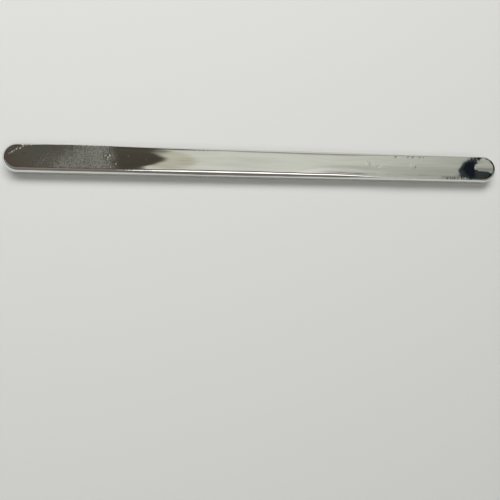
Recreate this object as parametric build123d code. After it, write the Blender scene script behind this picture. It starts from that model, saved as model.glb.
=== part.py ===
from build123d import *
import os
from math import cos, pi, radians, tan

# A solder bar, cast in one piece in an open mould. Lengths are in millimetres, angles in degrees.
# x runs along the bar, y across it, and z up from the face that lay on the floor of the mould.
# The face on top is the one that set in the open air, so it has rounded shoulders and shrink marks.

# Outline: the width is at the widest, where the walls end, and the height is to the top of the ridge
bar_length = 335.0
bar_width = 18.5
bar_height = 10.5

# Mould side: walls that lean outwards, so that the cold bar drops out, and a rounded floor edge
wall_draft = 5.0
floor_edge_radius = 1.0

# Open side: the molten metal pulls away from the wall into a rounded shoulder. Its lines at the wall
# and at the face meet at a share of its width, so the narrower it is, the steeper it leaves the wall.
shoulder_drop = 2.4
shoulder_lean = 0.47

# The shoulders are wide about the middle, where the metal drew in most, and narrow towards the end
# that was poured, where it stayed hot and filled the mould. So the edges of the open face wander.
# The places are shares of the straight part, counted from the cold end.
cold_shoulder = 2.6
poured_shoulder = 1.5
shoulder_places = [0.0, 0.1, 0.42, 0.64, 0.8, 0.9, 1.0]
far_shoulders = [cold_shoulder, 1.3, 2.9, 3.6, 2.2, 1.7, poured_shoulder]
near_shoulders = [cold_shoulder, 2.8, 3.6, 3.2, 1.1, 1.4, poured_shoulder]

# The pour left a shallow dish with a pinhole in it, near one end. Its slopes are S-shaped: the reach
# is how far a slope stays level at its top and foot, as a share of its radius.
pip_from_end = 18.0
dish_diameter = 13.0
dish_depth = 0.3
pinhole_diameter = 1.5
pinhole_depth = 0.8
slope_reach = 0.45

# The last metal to set closes along the middle in a low ridge, which rises and falls away gently
# and ends short of the pip
ridge_rise = 0.17
ridge_length = 130.0
ridge_lead = 35.0
ridge_run_out = 12.0
ridge_to_pip = 8.0

# Blisters of gas under the skin: distance from the poured end, distance off the middle, diameter
blisters = [
    (97.2, 2.4, 2.8),
    (98.8, 0.3, 2.0),
    (66.4, -0.7, 2.4),
    (62.7, -0.6, 2.0),
]
blister_rise_per_width = 0.1

# Cuts across the wandering part, from one end arc to the other
station_count = 17

half_length = bar_length / 2
half_width = bar_width / 2
arc_centre = half_length - half_width
pip_centre = half_length - pip_from_end
ridge_end = pip_centre - ridge_to_pip
face_level = bar_height - ridge_rise
shoulder_level = face_level - shoulder_drop
floor_width = bar_width - 2 * shoulder_level * tan(radians(wall_draft))
floor_length = bar_length - bar_width + floor_width


def eased(place, places, values):
    """The value at a place, going smoothly from the value at each listed place to the next."""
    if place <= places[0]:
        return values[0]
    spans = zip(places, places[1:], values, values[1:])
    for start, end, start_value, end_value in spans:
        if place <= end:
            blend = (1 - cos(pi * (place - start) / (end - start))) / 2
            return start_value + (end_value - start_value) * blend
    return values[-1]


def width_at(x, widths):
    """The width of a shoulder at x."""
    return eased((x + arc_centre) / (2 * arc_centre), shoulder_places, widths)


def ridge_at(x):
    """How far the ridge stands above the face at x."""
    places = [
        ridge_end - ridge_length,
        ridge_end - ridge_length + ridge_lead,
        ridge_end - ridge_run_out,
        ridge_end,
    ]
    return eased(x, places, [0.0, ridge_rise, ridge_rise, 0.0])


def shoulder(inset, side):
    """The rounded edge on one side (1 or -1), from the wall up to the open face."""
    return Bezier(
        (side * half_width, shoulder_level),
        (side * (half_width - inset * shoulder_lean), face_level),
        (side * (half_width - inset), face_level),
    )


def open_section(x):
    """The section of the open side at x, above the line where the metal meets the wall."""
    far_inset = width_at(x, far_shoulders)
    near_inset = width_at(x, near_shoulders)
    ridge_level = face_level + ridge_at(x)
    outline = Curve() + [
        Line((-half_width, shoulder_level), (half_width, shoulder_level)),
        shoulder(far_inset, 1),
        Line((half_width - far_inset, face_level), (0, ridge_level)),
        Line((0, ridge_level), (near_inset - half_width, face_level)),
        shoulder(near_inset, -1),
    ]
    return Plane(origin=(x, 0, 0), x_dir=(0, 1, 0), z_dir=(1, 0, 0)) * make_face(outline)


def open_end(direction, inset):
    """The half-round end of the open side, turned about the centre of the end arc."""
    outline = Curve() + [
        Line((0, face_level), (0, shoulder_level)),
        Line((0, shoulder_level), (half_width, shoulder_level)),
        shoulder(inset, 1),
        Line((half_width - inset, face_level), (0, face_level)),
    ]
    centre = (direction * arc_centre, 0, 0)
    half_section = Plane(origin=centre, x_dir=(0, 1, 0), z_dir=(1, 0, 0)) * make_face(outline)
    return revolve(half_section, Axis(centre, (0, 0, -direction)), 180)


def mould_side():
    """What the mould shaped: the flat floor face, its rounded edge and the leaning walls."""
    floor = SlotOverall(floor_length, floor_width)
    body = extrude(floor, amount=shoulder_level, taper=-wall_draft)
    return fillet(body.edges().group_by(Axis.Z)[0], floor_edge_radius)


def open_side():
    """What the air shaped: the level face, its wandering edges, the ridge and the shoulders."""
    step = 2 * arc_centre / (station_count - 1)
    sections = [open_section(-arc_centre + step * number) for number in range(station_count)]
    return loft(sections) + open_end(1, poured_shoulder) + open_end(-1, cold_shoulder)


def pour_pip():
    """The hollow left by the pour: a shallow dish, turned with a pinhole at its middle."""
    pinhole_radius = pinhole_diameter / 2
    dish_radius = dish_diameter / 2
    dish_slope = dish_radius - pinhole_radius
    above = bar_height + dish_depth
    outline = Curve() + [
        Line((0, face_level - dish_depth - pinhole_depth), (0, above)),
        Line((0, above), (dish_radius, above)),
        Line((dish_radius, above), (dish_radius, face_level)),
        Bezier(
            (dish_radius, face_level),
            (dish_radius - slope_reach * dish_slope, face_level),
            (pinhole_radius + slope_reach * dish_slope, face_level - dish_depth),
            (pinhole_radius, face_level - dish_depth),
        ),
        Bezier(
            (pinhole_radius, face_level - dish_depth),
            (pinhole_radius * (1 - slope_reach), face_level - dish_depth),
            (pinhole_radius * slope_reach, face_level - dish_depth - pinhole_depth),
            (0, face_level - dish_depth - pinhole_depth),
        ),
    ]
    hollow = revolve(Plane.XZ * make_face(outline), Axis.Z)
    return Pos(pip_centre, 0, 0) * hollow


def blister(from_end, off_middle, diameter):
    """One low dome on the open face, the top of a large ball."""
    rise = blister_rise_per_width * diameter
    ball_radius = (diameter ** 2 / 4 + rise ** 2) / (2 * rise)
    x = half_length - from_end
    return Pos(x, off_middle, face_level + rise - ball_radius) * Sphere(ball_radius)


def solder_bar():
    """The whole bar, as one solid."""
    bar = mould_side() + open_side()
    for from_end, off_middle, diameter in blisters:
        bar += blister(from_end, off_middle, diameter)
    return bar - pour_pip()


bar = solder_bar()
os.makedirs("parts", exist_ok=True)
export_step(bar, "parts/solder_bar.step")
print("solder bar", round(bar.volume / 1000, 2), "cubic centimetres")
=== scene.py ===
# %% [markdown]
# # A bar of solder, cast in an open mould
#
# This lesson dresses one cast bar: a long slim stick of bright metal with round ends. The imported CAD
# model gives its exact size and place. Here the bar gets the skin that the eye sees: the wandering
# edges, the slow waves and the marks that the metal keeps when it sets, and a finish that is a mirror
# in one place and frost in another. Everything is in metres, in the frame of the CAD model.

# %% Load the frame and keep its box
import bpy
from math import cos, exp, hypot, log, pi, radians, sin, tan
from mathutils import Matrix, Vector, noise


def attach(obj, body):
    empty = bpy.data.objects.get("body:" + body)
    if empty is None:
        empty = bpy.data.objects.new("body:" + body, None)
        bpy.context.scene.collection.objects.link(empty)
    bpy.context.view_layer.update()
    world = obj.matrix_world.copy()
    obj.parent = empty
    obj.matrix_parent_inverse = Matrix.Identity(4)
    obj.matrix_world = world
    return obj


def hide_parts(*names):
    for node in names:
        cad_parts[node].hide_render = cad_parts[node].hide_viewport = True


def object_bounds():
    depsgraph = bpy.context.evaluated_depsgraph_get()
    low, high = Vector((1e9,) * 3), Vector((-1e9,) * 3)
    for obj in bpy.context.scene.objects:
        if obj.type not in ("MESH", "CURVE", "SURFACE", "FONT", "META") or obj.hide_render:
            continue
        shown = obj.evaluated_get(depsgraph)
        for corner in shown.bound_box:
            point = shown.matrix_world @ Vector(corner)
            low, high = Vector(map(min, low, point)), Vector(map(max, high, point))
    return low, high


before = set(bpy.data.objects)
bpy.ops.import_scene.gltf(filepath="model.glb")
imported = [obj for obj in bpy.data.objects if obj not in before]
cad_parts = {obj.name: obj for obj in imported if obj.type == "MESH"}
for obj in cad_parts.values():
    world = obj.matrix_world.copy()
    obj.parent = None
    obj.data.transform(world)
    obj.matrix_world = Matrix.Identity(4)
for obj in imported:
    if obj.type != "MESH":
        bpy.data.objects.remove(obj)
cad_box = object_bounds()
MM = 0.001
print("CAD box", [tuple(round(value, 4) for value in corner) for corner in cad_box])

# %% [markdown]
# ## Where the camera stands
#
# The bar was photographed from above, a little from its near side and left of its middle, so its
# poured end, on the right, is seen at the flattest angle. A mirror shows whatever lies where the eye's
# line is thrown, so the place of the camera decides which reflections appear. That is why it comes
# first. It was found by fitting the outline of the bar to the picture.

# %% Camera
camera_place = Vector((-76.9, -99.1, 366.4)) * MM
camera_turn = (radians(6.63), radians(-9.97), radians(-1.22))
focal_length = 40.32
sensor_width = 36.0
nearest_shown = 0.01

camera_data = bpy.data.cameras.new("camera")
camera_data.lens = focal_length
camera_data.sensor_width = sensor_width
camera_data.clip_start = nearest_shown
camera = bpy.data.objects.new("camera", camera_data)
camera.location = camera_place
camera.rotation_euler = camera_turn
bpy.context.collection.objects.link(camera)
bpy.context.scene.camera = camera
print("camera", [round(value, 4) for value in camera.location])

# %% [markdown]
# ## The section of the bar
#
# Every cut across the bar has the same parts: a flat floor face, a small rounding, a wall that leans
# outwards, and then the free surface of the metal, which leaves the wall steeply and rolls over into
# the open face. The half section could be typed in as one list of points, but it is built from the
# few sizes that a mould maker would give, so that it follows them.

# %% Sizes of the section, in millimetres
bar_length = (cad_box[1][0] - cad_box[0][0]) / MM
half_width = (cad_box[1][1] - cad_box[0][1]) / MM / 2
face_level = 10.32
shoulder_drop = 2.4
shoulder_level = face_level - shoulder_drop
wall_draft = radians(5.0)
floor_edge_radius = 1.0
shoulder_lean = 0.47
mean_shoulder = 2.6
mean_reach = half_width - mean_shoulder
arc_centre = bar_length / 2 - half_width
# Points nearer than this are one
tolerance = 0.001
# Rows of points: shares of the way over the floor and up the wall, and steps round each rounding and
# over the open face
floor_share = 0.5
wall_shares = (0.3, 0.6, 0.88, 0.97, 1.0)
floor_edge_steps = 5
shoulder_steps = 16
face_steps = 17
print("bar", round(bar_length, 2), "mm long and", round(2 * half_width, 2), "mm wide")


# %% Points of the half section
def shoulder_point(share, width):
    """How far in from the widest line, and how high, the shoulder is at a share of its way up."""
    inset = 2 * share * (1 - share) * shoulder_lean * width + share ** 2 * width
    level = shoulder_level + (1 - (1 - share) ** 2) * shoulder_drop
    return inset, level


def half_section():
    """(distance from the middle, height) from the floor's middle round to the open face's middle."""
    lean = shoulder_level * tan(wall_draft)
    floor_reach = half_width - lean
    tangent = floor_edge_radius / tan((pi / 2 + wall_draft) / 2)
    round_centre = floor_reach - tangent
    points = [(0.0, 0.0), (round_centre * floor_share, 0.0), (round_centre, 0.0)]
    for step in range(1, floor_edge_steps + 1):
        angle = -pi / 2 + (pi / 2 - wall_draft) * step / floor_edge_steps
        points.append((
            round_centre + floor_edge_radius * cos(angle),
            floor_edge_radius + floor_edge_radius * sin(angle),
        ))
    start_reach, start_level = points[-1]
    for share in wall_shares:
        points.append((
            start_reach + (half_width - start_reach) * share,
            start_level + (shoulder_level - start_level) * share,
        ))
    for step in range(1, shoulder_steps + 1):
        inset, level = shoulder_point(step / shoulder_steps, mean_shoulder)
        points.append((half_width - inset, level))
    for step in range(1, face_steps + 1):
        points.append((mean_reach * (1 - step / face_steps), face_level))
    return points


section = half_section()
print("half section", len(section), "points, widest", round(max(p[0] for p in section), 3), "mm")

# %% [markdown]
# ## Sweeping the section round the bar
#
# The bar is that half section, taken once round its middle line: half a turn at each end and a straight
# run along each side. A stretched block with rounded corners would give long thin faces at the ends
# and no rows to carry the relief. So the section is drawn in edit mode, one extruded point after the
# other, spun about the centre of one end, drawn out along the side, spun again and drawn back. The
# straight runs are then divided, and the rows that meet along the middle are merged.


# %% Edit mode helpers
def only(obj):
    """Makes obj the one selected and active object."""
    bpy.ops.object.select_all(action="DESELECT")
    obj.select_set(True)
    bpy.context.view_layer.objects.active = obj


def pick_edges(obj, test):
    """In edit mode, selects just the edges whose two ends pass the test, and counts them."""
    bpy.ops.mesh.select_mode(type="EDGE")
    bpy.ops.mesh.select_all(action="DESELECT")
    bpy.ops.object.mode_set(mode="OBJECT")
    places = [point.co.copy() for point in obj.data.vertices]
    for edge in obj.data.edges:
        edge.select = test(*[places[end] for end in edge.vertices])
    picked = sum(edge.select for edge in obj.data.edges)
    bpy.ops.object.mode_set(mode="EDIT")
    return picked


# %% Draw the half section at the poured end
bpy.ops.object.select_all(action="DESELECT")
bpy.ops.mesh.primitive_plane_add(size=MM, location=(0, 0, 0))
skin = bpy.context.active_object
skin.name = "cast_skin"
bpy.ops.object.mode_set(mode="EDIT")
bpy.ops.mesh.select_all(action="SELECT")
bpy.ops.mesh.merge(type="CENTER")
bpy.ops.transform.translate(value=(arc_centre * MM, 0, 0))
for (reach, level), (next_reach, next_level) in zip(section, section[1:]):
    step = (0, (reach - next_reach) * MM, (next_level - level) * MM)
    bpy.ops.mesh.extrude_region_move(TRANSFORM_OT_translate={"value": step})
bpy.ops.mesh.select_all(action="SELECT")
print("drawn", len(section), "points on the near side")

# %% Spin and draw out the bar
end_steps = 48
run_length = 2 * arc_centre * MM


def spin_end(centre):
    """Half a turn about the centre of an end arc. The last section stays selected."""
    bpy.ops.mesh.spin(steps=end_steps, angle=pi, center=(centre * MM, 0, 0), axis=(0, 0, -1))


def draw_out(distance):
    """Draws the selected section out along the bar."""
    bpy.ops.mesh.extrude_region_move(TRANSFORM_OT_translate={"value": (distance, 0, 0)})


spin_end(arc_centre)
draw_out(-run_length)
spin_end(-arc_centre)
draw_out(run_length)
bpy.ops.mesh.select_all(action="SELECT")
bpy.ops.mesh.remove_doubles(threshold=tolerance * MM)
bpy.ops.object.mode_set(mode="OBJECT")
print("swept bar", len(skin.data.vertices), "points,", len(skin.data.polygons), "faces")

# %% Divide the straight runs
first_cuts = 24
second_cuts = 27
longest_left = 4.0


def is_long(a, b):
    """True for the edges that run along the bar between its end arcs."""
    return abs(a.x - b.x) > longest_left * MM


bpy.ops.object.mode_set(mode="EDIT")
for cuts in (first_cuts, second_cuts):
    found = pick_edges(skin, is_long)
    bpy.ops.mesh.subdivide(number_cuts=cuts)
    print(found, "long edges cut", cuts, "times")
bpy.ops.mesh.select_all(action="SELECT")
bpy.ops.mesh.normals_make_consistent(inside=False)
bpy.ops.object.mode_set(mode="OBJECT")
print("divided bar", len(skin.data.vertices), "points,", len(skin.data.polygons), "faces")

# %% [markdown]
# ## The relief that the metal set in
#
# The mould shaped only the floor and the walls. The open face shaped itself: the shoulders are wide
# where the metal drew in and narrow where it was poured, the face is slightly crowned, and a low ridge
# closes along the middle. No operator moves this many points by such rules, so each point gets its new
# place from a few short functions, as a sculptor would draw it with soft brushes of known size. All of
# them work in millimetres.


# %% Soft steps and noise
def eased(place, places, values):
    """The value at a place, eased smoothly from each listed place to the next."""
    if place <= places[0]:
        return values[0]
    for start, end, first, second in zip(places, places[1:], values, values[1:]):
        if place <= end:
            blend = (1 - cos(pi * (place - start) / (end - start))) / 2
            return first + (second - first) * blend
    return values[-1]


def soft_ramp(distance, width):
    """0 before a line and the distance past it after the line, rounded over about the given width."""
    return max(distance, 0.0) + width * log(1 + exp(-abs(distance) / width))


def dome(distance, radius):
    """A smooth dome: 1 at no distance, 0 from the radius on."""
    return (1 - (distance / radius) ** 2) ** 2 if abs(distance) < radius else 0.0


def waver(x, y, length, seed):
    """Smooth random waves over the bar, between about -1 and 1, of the given length."""
    return noise.noise(Vector((x / length, y / length, seed * seed_spacing)))


# The layers of noise that the seeds pick lie this far apart
seed_spacing = 7.31
print("noise at the middle", round(waver(0.5, 0.5, 2.0, 1), 3))

# %% Shoulders that wander
# Widths at shares of the straight run, from the cold end. Each wave below has a length and a seed.
shoulder_places = (0.0, 0.1, 0.42, 0.64, 0.8, 0.9, 1.0)
far_shoulders = (2.6, 1.3, 2.9, 3.6, 2.2, 1.7, 1.5)
near_shoulders = (2.6, 2.8, 3.6, 3.2, 1.1, 1.4, 1.5)
slimmest_shoulder = 0.7
long_sway = 0.28
long_sway_wave = (17.0, 2)
short_sway = 0.10
short_sway_wave = (6.0, 6)
# The edge gets more ragged towards the poured end
ragged_places = (60, 110, 150)
ragged_sways = (0.03, 0.10, 0.24)
ragged_wave = (1.3, 9)


def edge_waver(x, side, length, seed):
    """Waves along one edge. The other edge has waves of its own."""
    return waver(x, 0, length, seed + side)


def shoulder_width(x, side):
    """How wide the rounded shoulder is at x, on the far (1) or the near (-1) side."""
    share = (x + arc_centre) / (2 * arc_centre)
    widths = far_shoulders if side > 0 else near_shoulders
    sway = long_sway * edge_waver(x, side, *long_sway_wave)
    sway += short_sway * edge_waver(x, side, *short_sway_wave)
    sway += eased(x, ragged_places, ragged_sways) * edge_waver(x, side, *ragged_wave)
    return max(slimmest_shoulder, eased(share, shoulder_places, widths) + sway)


print("shoulders at the middle", round(shoulder_width(0, 1), 2), round(shoulder_width(0, -1), 2), "mm")

# %% Crown, ridge and slow waves
crown_drop = 0.12
ridge_places = (10, 45, 137, 151)
ridge_rises = (0.0, 0.16, 0.16, 0.0)
swell_height = 0.018
swell_stretch = 3.2
swell_wave = (9.0, 4)
ripple_height = 0.0035
ripple_stretch = 3.0
ripple_wave = (2.2, 5)


def crown_height(y):
    """The open face is a little lower towards its edges."""
    return -crown_drop * min(abs(y) / mean_reach, 1.0) ** 2


def ridge_height(x, reach_share):
    """The low ridge along the middle, a roof that ends at the edges of the face."""
    return eased(x, ridge_places, ridge_rises) * (1 - reach_share)


def wave_height(x, y):
    """Slow waves of the face, longer along the bar than across it."""
    swell = swell_height * waver(x / swell_stretch, y, *swell_wave)
    return swell + ripple_height * waver(x / ripple_stretch, y, *ripple_wave)


print("ridge at its highest", round(ridge_height(90.0, 0.0), 3), "mm")

# %% [markdown]
# ## The hollow of the pour
#
# The last of the metal went in near the right end, and as it set it drew in and left a shallow sink
# with a pinhole. From above the eye doesn't see its shape but what it mirrors: the fall looks into the
# dark past the end of the bar, and the rise looks back at the pale wall. A dish turned round the
# pinhole, as in the CAD model, would mirror that dark as a neat ring. So the fall starts from a ragged
# line, and the line where it turns up slants across the bar, which leaves a pale wedge beside the
# pinhole. Past it the rim rolls over round the end.

# %% Sizes of the hollow
pinhole_centre = (151.0, 0.2)
pinhole_depth = 0.8
pinhole_radius = 0.75
# Across the bar: where the floor of the sink starts to fall, and where it turns to rise
sink_across = (-8.0, -6.4, -4.8, -3.4, -2.2, -1.3, 0.7, 2.4, 3.4, 5.3, 7.4)
sink_starts = (136.2, 136.4, 137.0, 136.8, 135.2, 136.4, 139.6, 141.2, 141.8, 143.0, 145.2)
sink_turns = (168.0, 166.4, 165.0, 163.8, 161.6, 153.4, 151.0, 151.2, 153.8, 155.6, 157.6)
# Slopes of the fall and the rise, the depth past which the fall runs out, and by how much it does
sink_fall = 0.023
sink_rise = 0.030
sink_depth = 0.36
sink_run_out = 0.60
run_out_rounding = 0.02
turn_rounding = 0.3
# The raggedness of the line where the fall starts
start_sway = 1.1
start_wave = (1.5, 11)
start_fine_sway = 0.6
start_fine_wave = (0.8, 12)
# Towards the far edge the fall keeps less of its slope, begins more gently and gets uneven, like smoke
fall_places = (2.5, 6.0)
fall_shares = (1.0, 0.55)
onset_places = (0.5, 4.5)
onset_widths = (1.1, 2.0)
smoke_share = 0.30
smoke_wave = (2.4, 15)
# The bowl round the pinhole, the fine unrest of the deep part, and the rim
bowl_depth = 0.10
bowl_radius = 9.5
bowl_edge = pinhole_centre[0] + 0.8
crazing_height = 0.004
crazing_wave = (1.5, 14)
crazing_full_depth = 0.15
rim_places = (150, 158)
rim_start = 0.86
rim_drop = 0.09
print("hollow from", min(sink_starts), "mm to the poured end")


# %% Height of the hollow
def sink_height(x, y):
    """The sink falls from a ragged line, and rises again past a slanting one."""
    start = eased(y, sink_across, sink_starts) + start_sway * waver(y, 0, *start_wave)
    start += start_fine_sway * waver(y, 0, *start_fine_wave)
    turn = eased(y, sink_across, sink_turns)
    smoke = 1 + smoke_share * eased(y, fall_places, (0.0, 1.0)) * waver(x, y, *smoke_wave)
    slope = sink_fall * eased(y, fall_places, fall_shares) * smoke
    onset = eased(y, onset_places, onset_widths)
    fall = slope * (soft_ramp(x - start, onset) - soft_ramp(x - turn, turn_rounding))
    past = soft_ramp(fall - sink_depth, run_out_rounding)
    rise = sink_rise * soft_ramp(x - turn, turn_rounding)
    return rise - fall + (1 - sink_run_out) * past


def bowl_height(x, y):
    """The wide bowl that deepens the sink round the pinhole."""
    return -bowl_depth * dome(hypot(min(x - bowl_edge, 0.0), y - pinhole_centre[1]), bowl_radius)


def crazing(x, y, hollow):
    """The fine unrest of the face where the hollow is deep."""
    return crazing_height * waver(x, y, *crazing_wave) * max(min(-hollow / crazing_full_depth, 1.0), 0.0)


def rim_height(x, reach_share):
    """The face rolls over towards its edge round the poured end."""
    past_rim = max(reach_share - rim_start, 0.0) / (1 - rim_start)
    return -rim_drop * eased(x, rim_places, (0.0, 1.0)) * past_rim ** 2


def pinhole_height(x, y):
    """The small deep hole where the last metal drew in."""
    return -pinhole_depth * dome(hypot(x - pinhole_centre[0], y - pinhole_centre[1]), pinhole_radius)


print("hollow beside the pinhole", round(sink_height(149.0, 0.0) + bowl_height(149.0, 0.0), 3), "mm")

# %% [markdown]
# ## Wrinkles, blisters, beads and pits
#
# The skin of the metal sets first. Beside the first blisters it wrinkled, and near the hollow it left a
# ragged step along the near edge. Gas lifted blisters along the ridge, and dross froze as beads on the
# cold shoulder. Each of these could be a small mesh set on the face, but on the bar they are the same
# metal and flow into it. So all are added to the same height: the wrinkles and the step as waves
# inside a soft area, the others as a list of smooth domes, whose heights are below zero for pits.

# %% Wrinkles and the ragged step
wrinkle_centre = (79.0, -0.2)
wrinkle_reach = (11.0, 1.7)
wrinkle_depth = 0.085
wrinkle_slant = 0.7
wrinkle_stretch = 0.5
wrinkle_wave = (1.1, 8)
step_centre = 134.0
step_reach = 12.0
step_places = (6.3, 7.9)
step_depth = 0.22
step_mean = 0.8
step_swing = 0.9
step_wave = (1.4, 13)


def wrinkle_height(x, y):
    """Short slanting wrinkles along the ridge."""
    along = dome((x - wrinkle_centre[0]) / wrinkle_reach[0], 1.0)
    across = dome((y - wrinkle_centre[1]) / wrinkle_reach[1], 1.0)
    wave = waver(x + wrinkle_slant * y, y * wrinkle_stretch, *wrinkle_wave)
    return wrinkle_depth * along * across * wave


def step_height(x, y):
    """The face drops towards the near edge beside the hollow, here more and there less."""
    drop = -step_depth * eased(-y, step_places, (0.0, 1.0)) * dome((x - step_centre) / step_reach, 1.0)
    return drop * (step_mean + step_swing * waver(x, 0, *step_wave))


print("step at the near edge", round(step_height(step_centre, -8.0), 3), "mm")

# %% Blisters, beads of dross and pits
# x, y, width along, width across, height
marks = [
    # The two pairs of blisters on the ridge, each with a small pit beside it
    (70.4, 1.4, 4.4, 3.8, 0.105), (69.2, 2.7, 2.2, 1.8, 0.095), (72.0, 2.1, 1.4, 1.0, -0.04),
    (102.2, 0.2, 2.8, 4.4, 0.042), (103.4, 0.1, 3.0, 4.4, 0.038), (104.6, 0.0, 2.8, 4.4, 0.042),
    (105.9, -0.4, 1.7, 1.4, -0.07),
    # Pits along the far edge
    (91.4, 6.4, 3.2, 1.6, -0.16), (100.6, 6.6, 3.6, 1.4, -0.14), (104.2, 6.7, 3.6, 1.4, -0.16),
    (109.4, 6.7, 3.4, 1.3, -0.12), (112.2, 6.7, 2.4, 1.2, -0.11),
    # Beads along the shoulder at the cold end
    (-162.8, 1.9, 2.2, 1.9, 0.30), (-161.7, 2.8, 2.3, 2.0, 0.34), (-160.5, 3.6, 1.8, 1.6, 0.24),
    (-159.2, 4.5, 2.4, 2.0, 0.34), (-158.3, 5.7, 2.2, 1.8, 0.32), (-157.0, 5.0, 2.0, 1.7, 0.30),
    (-156.6, 6.3, 2.0, 1.7, 0.28), (-154.9, 6.8, 2.8, 2.1, 0.42),
    (-153.0, 7.0, 1.8, 1.6, 0.28), (-151.9, 5.9, 1.0, 0.9, 0.12), (-150.3, 7.5, 2.2, 1.6, 0.36),
    (-147.9, 7.7, 1.8, 1.4, 0.28), (-145.2, 7.8, 1.5, 1.2, 0.22), (-143.0, 8.0, 1.2, 1.1, 0.16),
    # Specks in the frost and on both sides of it
    (-104.3, 0.8, 2.1, 1.4, 0.24), (-103.0, 1.9, 1.7, 1.3, 0.21), (-105.7, 1.7, 1.5, 1.2, 0.20),
    (-99.2, -3.2, 1.2, 1.1, 0.085), (-91.4, 1.7, 1.1, 1.0, 0.075), (-80.0, 0.1, 0.9, 0.9, 0.035),
    (-153.8, 2.0, 1.4, 1.2, 0.16), (-144.6, -0.9, 1.3, 1.1, 0.16), (-143.0, -2.0, 1.2, 1.1, 0.15),
    (-147.0, 3.4, 0.9, 0.8, 0.07), (-137.5, 2.4, 0.9, 0.8, 0.06),
]


def mark_height(x, y):
    """All the blisters, beads and pits at one place."""
    return sum(
        rise * dome(hypot((x - mark_x) / along, (y - mark_y) / across), 0.5)
        for mark_x, mark_y, along, across, rise in marks
    )


print("marks", len(marks))

# %% [markdown]
# ## One height for the open face
#
# All of that relief is a sum of heights, and this is where it is added up. Each part could move the
# points in its own turn, but then the next one would read places that have already moved. A bead must
# not stand above the box of the CAD model, so the sum is cut off just below its top. On the shoulder
# a point keeps its step of the way up and takes its share of the height, so that the shoulder still
# meets the wall at one level.

# %% Height of the open face
clearance = 0.005
highest_relief = (cad_box[1][2] / MM - face_level) - clearance


def face_height(x, y, reach_share):
    """How far the open face stands above or below its level, in millimetres."""
    hollow = sink_height(x, y) + bowl_height(x, y)
    height = crown_height(y) + ridge_height(x, reach_share) + step_height(x, y)
    height += hollow
    height += crazing(x, y, hollow)
    height += rim_height(x, reach_share)
    height += wave_height(x, y)
    height += wrinkle_height(x, y)
    return min(height + mark_height(x, y) + pinhole_height(x, y), highest_relief)


print("face height at the poured end", round(face_height(146.0, 0.0, 0.0), 3), "mm")

# %% Move every point of the open side
row_shares = [row / shoulder_steps for row in range(shoulder_steps + 1)]
row_insets = [shoulder_point(row_share, mean_shoulder)[0] for row_share in row_shares]


def place_point(point):
    """Gives a point of the open side its new place."""
    x, y, z = (value / MM for value in point)
    beyond = max(abs(x) - arc_centre, 0.0)
    end = 1 if x > 0 else -1
    reach = hypot(beyond, y)
    inset = half_width - reach
    side = 1 if y > 0 else -1
    width = shoulder_width(max(-arc_centre, min(arc_centre, x)), side)
    if beyond > 0 and reach > 0:
        other = shoulder_width(end * arc_centre, -side)
        blend = 0.5 + 0.5 * abs(y) / reach
        width = width * blend + other * (1 - blend)
    if inset <= mean_shoulder + tolerance:
        row = min(range(len(row_insets)), key=lambda number: abs(row_insets[number] - inset))
        new_inset = shoulder_point(row_shares[row], width)[0]
        weight = row_shares[row] ** 2
        share = 1.0
    else:
        share = reach / mean_reach
        new_inset = width + (half_width - width) * (1 - share)
        weight = 1.0
    if reach > 0:
        scale = (half_width - new_inset) / reach
        y *= scale
        if beyond > 0:
            x = end * (arc_centre + beyond * scale)
    return Vector((x, y, z + weight * face_height(x, y, min(share, 1.0)))) * MM


for vertex in skin.data.vertices:
    if vertex.co.z / MM > shoulder_level + tolerance:
        vertex.co = place_point(vertex.co)
skin.data.update()
only(skin)
bpy.ops.object.shade_smooth()
print("relief from", round(min(v.co.z for v in skin.data.vertices) / MM, 2),
      "to", round(max(v.co.z for v in skin.data.vertices) / MM, 2), "mm")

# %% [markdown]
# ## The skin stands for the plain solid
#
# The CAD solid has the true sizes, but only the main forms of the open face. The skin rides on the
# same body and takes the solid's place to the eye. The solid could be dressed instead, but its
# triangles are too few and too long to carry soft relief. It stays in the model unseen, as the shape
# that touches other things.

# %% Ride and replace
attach(skin, "root")
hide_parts("solder_bar")
print("cast_skin rides on root and stands for solder_bar")

# %% [markdown]
# ## Nodes in short lines
#
# The sky, the floor and the metal are all trees of nodes. They could be wired by hand in the shader
# editor, but a script has to say each node, each value and each link. A few helpers turn that into one
# line a node: what kind it is and what goes into it, and the line gives back what comes out.


# %% Node helpers
def add_node(tree, kind, inputs=None, **settings):
    """Adds a node, sets its own settings, and fills or links the named inputs."""
    made = tree.nodes.new(kind)
    for name, value in settings.items():
        setattr(made, name, value)
    for name, value in (inputs or {}).items():
        socket = made.inputs[name]
        if isinstance(value, bpy.types.NodeSocket):
            tree.links.new(value, socket)
        else:
            socket.default_value = value
    return made


def maths(tree, operation, *values):
    """One step of arithmetic. Returns its result socket."""
    inputs = {number: value for number, value in enumerate(values)}
    return add_node(tree, "ShaderNodeMath", inputs, operation=operation).outputs[0]


def ramp(tree, value, start, end, low=0.0, high=1.0, kind="SMOOTHSTEP"):
    """Goes from low to high as the value goes from start to end. Returns the result socket."""
    inputs = {"Value": value, "From Min": start, "From Max": end, "To Min": low, "To Max": high}
    return add_node(tree, "ShaderNodeMapRange", inputs, interpolation_type=kind).outputs[0]


def speckle(tree, place, scale):
    """Random grey values, from clouds down to grains, over the given places."""
    inputs = {"Vector": place, "Scale": scale, "Detail": noise_detail}
    return add_node(tree, "ShaderNodeTexNoise", inputs).outputs[0]


def mix_colour(tree, factor, first, second):
    """Goes from the first colour to the second by the factor. Inputs 6 and 7 take the two colours."""
    colours = {}
    for number, colour in ((6, first), (7, second)):
        colours[number] = colour + (1.0,) if isinstance(colour, tuple) else colour
    made = add_node(tree, "ShaderNodeMix", {0: factor, **colours}, data_type="RGBA")
    return made.outputs[2]


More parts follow.
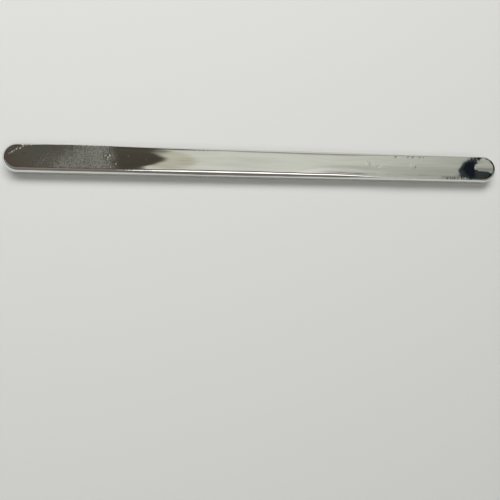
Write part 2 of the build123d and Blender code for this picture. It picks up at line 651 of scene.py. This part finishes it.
def sight_rays(tree):
    """Two masks: rays from the camera, and rays thrown on by a mirror or through glass."""
    ray = add_node(tree, "ShaderNodeLightPath").outputs
    return ray["Is Camera Ray"], maths(tree, "MAXIMUM", ray["Is Glossy Ray"], ray["Is Transmission Ray"])


noise_detail = 3.0
print("node helpers ready")

# %% [markdown]
# ## A patch with a soft edge
#
# The studio below is made of panels, and each is the same small sum with other numbers: how far a
# direction lies from the panel's middle, as a share of its half sizes. That is just what a node group
# is for. A power rounds the outline, from an ellipse at 2 to a box at 8, and the mask fades smoothly
# over the edge.

# %% The soft patch group
patch_inputs = ("Along", "Across", "Centre Along", "Centre Across", "Half Along", "Half Across",
                "Softness", "Roundness")


def soft_patch_group():
    """A mask that is 1 inside a rounded patch and fades to 0 over its edge."""
    group = bpy.data.node_groups.new("soft_patch", "ShaderNodeTree")
    for name in patch_inputs:
        group.interface.new_socket(name, in_out="INPUT", socket_type="NodeSocketFloat")
    group.interface.new_socket("Mask", in_out="OUTPUT", socket_type="NodeSocketFloat")
    given = group.nodes.new("NodeGroupInput").outputs
    parts = []
    for way in ("Along", "Across"):
        away = maths(group, "ABSOLUTE", maths(group, "SUBTRACT", given[way], given["Centre " + way]))
        share = maths(group, "DIVIDE", away, given["Half " + way])
        parts.append(maths(group, "POWER", share, given["Roundness"]))
    power = maths(group, "DIVIDE", 1.0, given["Roundness"])
    distance = maths(group, "POWER", maths(group, "ADD", *parts), power)
    half_soft = maths(group, "MULTIPLY", given["Softness"], 0.5)
    inner_edge = maths(group, "SUBTRACT", 1.0, half_soft)
    outer_edge = maths(group, "ADD", 1.0, half_soft)
    mask = ramp(group, distance, inner_edge, outer_edge, low=1.0, high=0.0)
    result = group.nodes.new("NodeGroupOutput")
    group.links.new(mask, result.inputs["Mask"])
    return group


soft_patch = soft_patch_group()


def patch_mask(tree, along, across, *numbers):
    """Places the soft patch with its centre, half sizes, softness and roundness."""
    inputs = dict(zip(patch_inputs, (along, across) + numbers))
    return add_node(tree, "ShaderNodeGroup", inputs, node_tree=soft_patch).outputs["Mask"]


print("soft_patch", len(soft_patch.nodes), "nodes")

# %% [markdown]
# ## A studio for the mirror to show
#
# Bright solder has almost no colour of its own: it shows the room. The room could be built of lit
# cards round the bar, but every card would also light the floor and need a place that all views agree
# on. So it is painted on the sky, which lies at no distance, as panels given by two angles from
# straight up: along the bar, and across it with the far side positive. A panel covers the ones before
# it. The dark left side gives the long dark stretch and its arrow tip, the pale back wall the bright
# stretch, the window strip the thin white line along the near shoulder, and the deep corner the dark
# hollow of the pour.

# %% Panels of the studio
surroundings = (0.21, 0.195, 0.18)
# Name, centre along and across and half sizes in degrees, softness, roundness, strength, colour
panels = [
    ("near room", -40, -34, 39, 24, 0.7, 3, 1, (0.26, 0.23, 0.21)),
    ("near room, lit top", -40, -24, 37, 11, 0.6, 4, 1, (0.37, 0.34, 0.28)),
    ("near room, dark foot", -40, -50, 37, 12, 0.5, 4, 1, (0.13, 0.11, 0.10)),
    ("near middle", 22, -16, 23, 24, 0.35, 5, 1, (0.32, 0.31, 0.29)),
    ("near foot", 22, -56, 60, 18, 0.5, 5, 1, (0.18, 0.165, 0.15)),
    ("window strip", 13.5, -28.5, 15, 10.5, 0.30, 4, 1, (2.30, 2.30, 2.25)),
    ("beside the window", 46, -16, 17, 24, 0.25, 4, 1, (0.07, 0.068, 0.062)),
    ("back wall", 26, 46, 36, 38, 0.06, 8, 1, (0.69, 0.71, 0.64)),
    ("lit foot of the back wall", 11, 8.8, 11, 1.9, 0.9, 4, 1, (0.88, 0.88, 0.83)),
    ("dark beam overhead", 12, -4.3, 60, 12.6, 0.16, 6, 1, (0.105, 0.098, 0.09)),
    ("red glow on the beam", -5.0, 1.5, 5.0, 6.5, 0.6, 3, 0.8, (0.13, 0.045, 0.052)),
    ("far side, low", 33, 66, 30, 32, 0.7, 4, 1, (0.50, 0.49, 0.47)),
    ("far foot", 20, 80, 80, 15, 0.3, 6, 1, (0.25, 0.22, 0.20)),
    ("right shade, broad", 46, 18, 20, 40, 1.2, 4, 1, (0.40, 0.41, 0.36)),
    ("right shade, near", 42, 4, 26, 11, 0.3, 4, 0.34, (0.28, 0.28, 0.25)),
    ("right shade, nearest", 52, 4, 22, 11, 0.15, 4, 0.20, (0.20, 0.20, 0.18)),
    ("beige patch", 1.8, 15.4, 2.6, 4.6, 0.6, 1.9, 0.85, (0.53, 0.515, 0.41)),
    ("streak, far", 3.6, 16.6, 1.0, 0.42, 1.0, 2, 0.26, (0.36, 0.31, 0.22)),
    ("streak, middle", 3.8, 15.2, 1.3, 0.40, 1.0, 2, 0.30, (0.36, 0.31, 0.22)),
    ("streak, near", 3.4, 13.8, 1.0, 0.38, 1.0, 2, 0.24, (0.36, 0.31, 0.22)),
    ("dark left side", -34.1, 18, 33.5, 12, 0.03, 8, 1, (0.080, 0.075, 0.057)),
    ("dark left side, far", -30, 40.2, 30.6, 23.8, 0.03, 10, 1, (0.080, 0.075, 0.057)),
    ("arrow tip", -3.0, 15.9, 4.5, 5.2, 0.16, 1.6, 1, (0.069, 0.060, 0.046)),
    ("arrow's far tail", -2.0, 46.5, 7.6, 28.6, 0.12, 2.4, 1, (0.086, 0.078, 0.062)),
    ("green cast", -16, 17, 10.5, 30, 0.9, 4, 0.9, (0.098, 0.100, 0.080)),
    ("brown end", -60, 13, 47.6, 14, 0.03, 3, 1, (0.094, 0.073, 0.055)),
    ("brown end, far", -40, 46, 43, 26, 0.05, 5, 1, (0.085, 0.074, 0.062)),
    ("maroon cast", -18.6, 11.0, 5.4, 4.8, 0.4, 2, 0.9, (0.100, 0.048, 0.047)),
    ("reddish line", -11.2, 8.6, 4.6, 1.9, 0.6, 3, 0.7, (0.095, 0.058, 0.048)),
    ("teal corner", -52, -28, 34, 34, 0.4, 3, 0.9, (0.20, 0.26, 0.27)),
    ("deep corner", 66.5, 16, 34, 46, 0.05, 4, 1, (0.034, 0.044, 0.045)),
    ("deep corner's core", 70, 14, 35.5, 46, 0.03, 4, 1, (0.010, 0.013, 0.019)),
]
print("studio", len(panels), "panels")

# %% Paint the panels on the sky
world = bpy.data.worlds.new("studio")
bpy.context.scene.world = world
world.use_nodes = True
sky = world.node_tree
sky.nodes.clear()
direction = add_node(sky, "ShaderNodeTexCoord").outputs["Generated"]
reach = add_node(sky, "ShaderNodeSeparateXYZ", {0: direction}).outputs
along = maths(sky, "ARCSINE", reach["X"])
across = maths(sky, "ARCTAN2", reach["Y"], reach["Z"])
colour = surroundings
for name, *angles, softness, roundness, strength, tone in panels:
    mask = patch_mask(sky, along, across, *[radians(angle) for angle in angles], softness, roundness)
    colour = mix_colour(sky, maths(sky, "MULTIPLY", mask, strength), colour, tone)
print("sky", len(sky.nodes), "nodes")

# %% [markdown]
# ## Clouds in the reflections, and a backdrop apart from the light
#
# No real room is even, so faint clouds, stretched along the bar, go over all panels: in the metal they
# become the soft lengthwise streaks of a cast face. The picture's background is another matter. A
# darker or brighter sky would change it together with the light on the bar. Light Path keeps the two
# apart: rays from the camera meet a plain pale backdrop, and so do reflections near the horizon, so
# that the bar's sides show the place that it stands in.

# %% Clouds and backdrop
backdrop = (0.72, 0.72, 0.70)
cloud_scale = 26.0
cloud_stretch = 0.35
cloud_span = (0.3, 0.7)
cloud_shading = (0.90, 1.06)
horizon = (0.02, 0.12)

cloud_inputs = {0: maths(sky, "MULTIPLY", along, cloud_stretch), 1: across}
clouds = speckle(sky, add_node(sky, "ShaderNodeCombineXYZ", cloud_inputs).outputs[0], cloud_scale)
shading = ramp(sky, clouds, *cloud_span, *cloud_shading, kind="LINEAR")
clouded = add_node(sky, "ShaderNodeVectorMath", {0: colour, "Scale": shading}, operation="SCALE")
low_down = ramp(sky, reach["Z"], *horizon, low=1.0, high=0.0)
camera_ray, thrown_ray = sight_rays(sky)
bare = maths(sky, "MAXIMUM", camera_ray, maths(sky, "MULTIPLY", thrown_ray, low_down))
shown = mix_colour(sky, bare, clouded.outputs[0], backdrop)
light = add_node(sky, "ShaderNodeBackground", {"Color": shown, "Strength": 1.0})
add_node(sky, "ShaderNodeOutputWorld", {"Surface": light.outputs[0]})
print("backdrop", backdrop)

# %% [markdown]
# ## One soft lamp
#
# The sky lights the bar well, but from all sides at once, so the bar would seem to float. One large
# lamp above the far side gives the shadow that sets it down. A small strong lamp would do that too,
# with a hard edge that no studio has. The lamp is kept out of reflections, because the mirror would
# show it as a white square.

# %% Lamp
lamp_place = Vector((-0.20, 0.60, 1.10))
lamp_length = 1.2
lamp_width = 0.6
lamp_watts = 12.5

lamp_data = bpy.data.lights.new("key_lamp", "AREA")
lamp_data.shape = "RECTANGLE"
lamp_data.size = lamp_length
lamp_data.size_y = lamp_width
lamp_data.energy = lamp_watts
lamp = bpy.data.objects.new("key_lamp", lamp_data)
lamp.location = lamp_place
lamp.rotation_euler = (-lamp_place).to_track_quat("-Z", "Y").to_euler()
lamp.visible_glossy = False
bpy.context.collection.objects.link(lamp)
print("lamp", lamp_watts, "watts")

# %% [markdown]
# ## A paper floor without a horizon
#
# The bar lies on a sheet of pale paper. Seen from the side, a flat sheet ends in a dull line where it
# meets the backdrop. Photographers hang the paper in a curve behind the object. Here the sheet stays
# flat, and far from the bar its material fades into the backdrop's colour, only for the camera and for
# reflections. Near the bar it is paper for every ray, and keeps the bar's shadow.

# %% Floor
floor_width = 6.0
paper_colour = (0.80, 0.80, 0.78)
paper_roughness = 0.9
paper_gloss = 0.1
fade_distances = (0.28, 0.85)

bpy.ops.object.select_all(action="DESELECT")
bpy.ops.mesh.primitive_plane_add(size=floor_width, location=(0, 0, 0))
floor = bpy.context.active_object
floor.name = "floor"
paper = bpy.data.materials.new("floor_paper")
paper.use_nodes = True
ground = paper.node_tree
paper_shader = ground.nodes["Principled BSDF"]
paper_shader.inputs["Base Color"].default_value = paper_colour + (1.0,)
paper_shader.inputs["Roughness"].default_value = paper_roughness
paper_shader.inputs["Specular IOR Level"].default_value = paper_gloss
spread = {0: add_node(ground, "ShaderNodeTexCoord").outputs["Object"]}
from_middle = add_node(ground, "ShaderNodeVectorMath", spread, operation="LENGTH").outputs["Value"]
far_off = ramp(ground, from_middle, *fade_distances)
camera_ray, thrown_ray = sight_rays(ground)
seen = maths(ground, "MULTIPLY", far_off, maths(ground, "MAXIMUM", camera_ray, thrown_ray))
haze = add_node(ground, "ShaderNodeEmission", {"Color": backdrop + (1.0,), "Strength": 1.0})
layers = {0: seen, 1: paper_shader.outputs[0], 2: haze.outputs[0]}
sheet = add_node(ground, "ShaderNodeMixShader", layers)
ground.links.new(sheet.outputs[0], ground.nodes["Material Output"].inputs["Surface"])
floor.data.materials.append(paper)
print("floor", floor_width, "m wide")

# %% [markdown]
# ## Cast solder: mirror and frost
#
# The whole bar is one metal. Where its open face set quietly it is a mirror. Towards the cold end it
# froze from many seeds at once, and the small crystals stand out as grey frost, with paler clusters in
# it. It thins out into single grains at its left border and stops at a cloudy line on the right. A
# picture of frost would look flat as soon as the light moves, so here it is what it is on the bar:
# rough metal with a fine grain. Its masks read the object's own coordinates, in metres, so they stay
# in place from every side.

# %% Mask of the frost
# In metres: between which places the frost grows in from nothing, from the left, right and near side
frost_left = (-0.170, -0.115)
frost_left_slant = -1.5
frost_right = (-0.086, -0.101)
frost_right_clouds = 0.018
frost_near_edge = (-0.0072, -0.0060)
# Added to clouds of about 0.5: how much of the area the frost covers
frost_cover = 0.42
# Scales of the noise, from clouds over clusters down to crystals
cloud_grain = 130.0
cluster_grain = 620.0
crystal_grain = 1150.0
crystal_span = (0.36, 0.66)
crystal_shares = (0.5, 1.0)

metal = bpy.data.materials.new("cast_solder")
metal.use_nodes = True
tree = metal.node_tree
place = add_node(tree, "ShaderNodeTexCoord").outputs["Object"]
spot = add_node(tree, "ShaderNodeSeparateXYZ", {0: place}).outputs
broad = speckle(tree, place, cloud_grain)
fine = speckle(tree, place, crystal_grain)
slanted = maths(tree, "ADD", spot["X"], maths(tree, "MULTIPLY", spot["Y"], frost_left_slant))
clouded = maths(tree, "ADD", spot["X"], maths(tree, "MULTIPLY", broad, frost_right_clouds))
frost_area = maths(tree, "MULTIPLY", ramp(tree, slanted, *frost_left), ramp(tree, clouded, *frost_right))
frost_area = maths(tree, "MULTIPLY", frost_area, ramp(tree, spot["Y"], *frost_near_edge))
mottled = maths(tree, "MULTIPLY", frost_area, maths(tree, "ADD", broad, frost_cover))
grains = ramp(tree, fine, *crystal_span, *crystal_shares, kind="LINEAR")
frost = add_node(tree, "ShaderNodeClamp", {"Value": maths(tree, "MULTIPLY", mottled, grains)}).outputs[0]
print("frost mask", len(tree.nodes), "nodes")

# %% [markdown]
# ## The side that the mould shaped
#
# Below the shoulder the metal took the skin of the mould. It is satin, with faint lines that run round
# the bar at one height, where the metal rose in small steps as it was poured. Noise squeezed flat
# does this: its places are shrunk along and across the bar, so that it hardly changes that way and
# quickly with the height. The mask is just the height at which the walls end.

# %% Mask and laps of the mould side
mould_top = (0.0074, 0.0081)
lap_squeeze = (0.10, 0.10, 1.0)
lap_scale = 520.0

mould_side = ramp(tree, spot["Z"], *mould_top, low=1.0, high=0.0, kind="LINEAR")
squeezed = add_node(tree, "ShaderNodeVectorMath", {0: place, 1: lap_squeeze}, operation="MULTIPLY")
laps = speckle(tree, squeezed.outputs[0], lap_scale)
print("mould side up to", mould_top[1] / MM, "mm")

# %% Roughness, colour and grain
solder_colour = (0.78, 0.775, 0.75)
frost_colour = (0.93, 0.98, 0.99)
cluster_span = (0.38, 0.62)
cluster_shares = (0.4, 1.0)
mirror_roughness = 0.035
frost_roughness = 0.43
# The mould side's roughness, the least share of it, and how much of it the laps add
mould_roughness = 0.27
least_share = 0.35
lap_swing = 1.2
# The bump: shares of its distance that the grain and the laps of the mould side reach, and its force
mould_grain = 0.08
lap_share = 0.45
bump_strength = 0.5
bump_distance = 0.1 * MM

shader = tree.nodes["Principled BSDF"]
shader.inputs["Metallic"].default_value = 1.0
open_roughness = ramp(tree, frost, 0.0, 1.0, low=mirror_roughness, high=frost_roughness, kind="LINEAR")
uneven = maths(tree, "ADD", maths(tree, "MULTIPLY", laps, lap_swing), least_share)
satin = maths(tree, "MULTIPLY", uneven, mould_roughness)
roughness = add_node(tree, "ShaderNodeMix", {0: mould_side, 2: open_roughness, 3: satin}).outputs[0]
tree.links.new(roughness, shader.inputs["Roughness"])
clusters = speckle(tree, place, cluster_grain)
pale_clusters = ramp(tree, clusters, *cluster_span, *cluster_shares, kind="LINEAR")
paleness = maths(tree, "MULTIPLY", frost, pale_clusters)
metal_colour = mix_colour(tree, paleness, solder_colour, frost_colour)
tree.links.new(metal_colour, shader.inputs["Base Color"])
grain_share = maths(tree, "ADD", frost, maths(tree, "MULTIPLY", mould_side, mould_grain))
grain_height = maths(tree, "MULTIPLY", fine, grain_share)
lap_height = maths(tree, "MULTIPLY", laps, maths(tree, "MULTIPLY", mould_side, lap_share))
height = maths(tree, "ADD", grain_height, lap_height)
bump_inputs = {"Strength": bump_strength, "Distance": bump_distance, "Height": height}
tree.links.new(add_node(tree, "ShaderNodeBump", bump_inputs).outputs[0], shader.inputs["Normal"])
skin.data.materials.clear()
skin.data.materials.append(metal)
print("cast_solder", len(tree.nodes), "nodes")

# %% [markdown]
# ## Colours as they are written
#
# Blender's default view bends colours as a film would, and pales the bright ones. The Standard view
# shows each colour as its number says, which suits a part that will be lit in other scenes.

# %% View settings
bpy.context.scene.view_settings.view_transform = "Standard"
print("view", bpy.context.scene.view_settings.view_transform)
